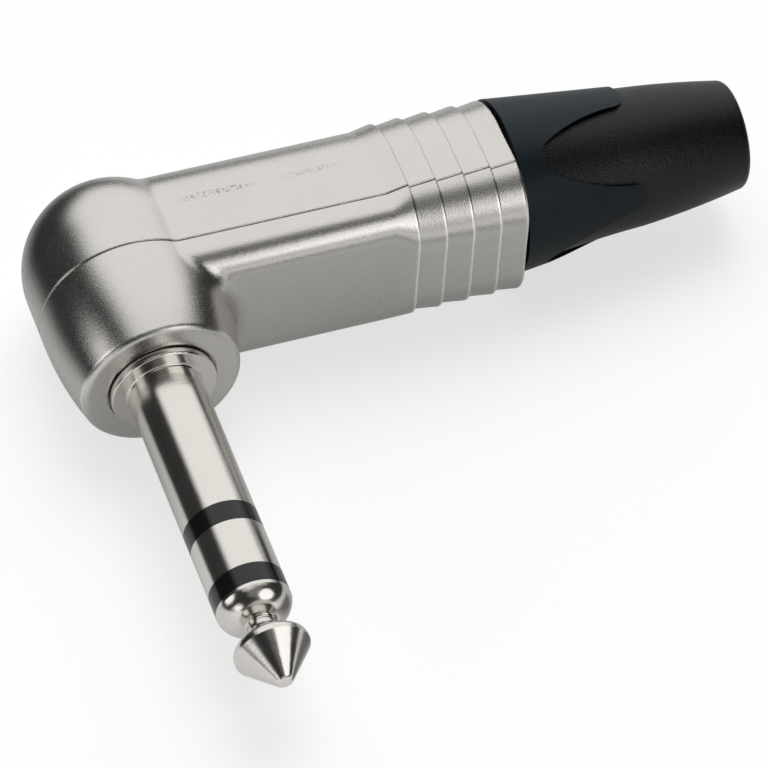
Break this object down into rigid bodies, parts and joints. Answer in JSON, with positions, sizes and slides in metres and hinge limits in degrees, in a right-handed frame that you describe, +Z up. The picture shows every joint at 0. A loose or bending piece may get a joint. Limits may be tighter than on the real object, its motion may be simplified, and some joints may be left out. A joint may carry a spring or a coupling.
{
  "type": "right-angle stereo jack plug",
  "caption": "Right-angle three-contact jack plug with a two-part metal shell, grip rings and a screwed cable boot.",
  "frame": {"origin": "axis of the plug finger at the flat shoulder that stops against a socket", "axes": "-Y along the finger towards its tip, +X along the barrel towards the cable's way out, +Z up as the plug lies on its side"},
  "size_m": [0.0628, 0.0527, 0.0156],
  "materials": {
    "shell_metal": "satin pearl nickel",
    "contact_metal": "bright nickel",
    "insulator": "gloss",
    "lug_metal": "tinned",
    "washer": "matt",
    "liner": "translucent matt",
    "chuck_plastic": "matt",
    "collar_plastic": "smooth matt",
    "gland_rubber": "fine-grained matt"
  },
  "bodies": {
    "shell": {"shell_base": "shell_metal", "shell_cover": "shell_metal", "plug_sleeve": "contact_metal", "sleeve_insulator": "insulator", "ring_contact": "contact_metal", "tip_insulator": "insulator", "tip_contact": "contact_metal", "sleeve_lug": "lug_metal", "ring_lug_washer": "washer", "ring_lug": "lug_metal", "tip_lug_washer": "washer", "tip_lug": "lug_metal", "insulating_liner": "liner"},
    "chuck": {"strain_relief_chuck": "chuck_plastic"},
    "boot": {"boot_collar": "collar_plastic", "boot_gland": "gland_rubber"}
  },
  "joints": [
    {"name": "chuck_slide", "type": "slide", "parent": "shell", "child": "chuck", "axis": [1, 0, 0], "range_m": [0, 0.006]},
    {"name": "boot_turn", "type": "hinge", "parent": "chuck", "child": "boot", "pos_m": [0.037, 0.0126, 0], "axis": [1, 0, 0], "range_deg": [0, 2160]}
  ],
  "couplings": [
    {"joint": "boot_turn", "follows": "chuck_slide", "rad_per_m": 6283.2}
  ]
}
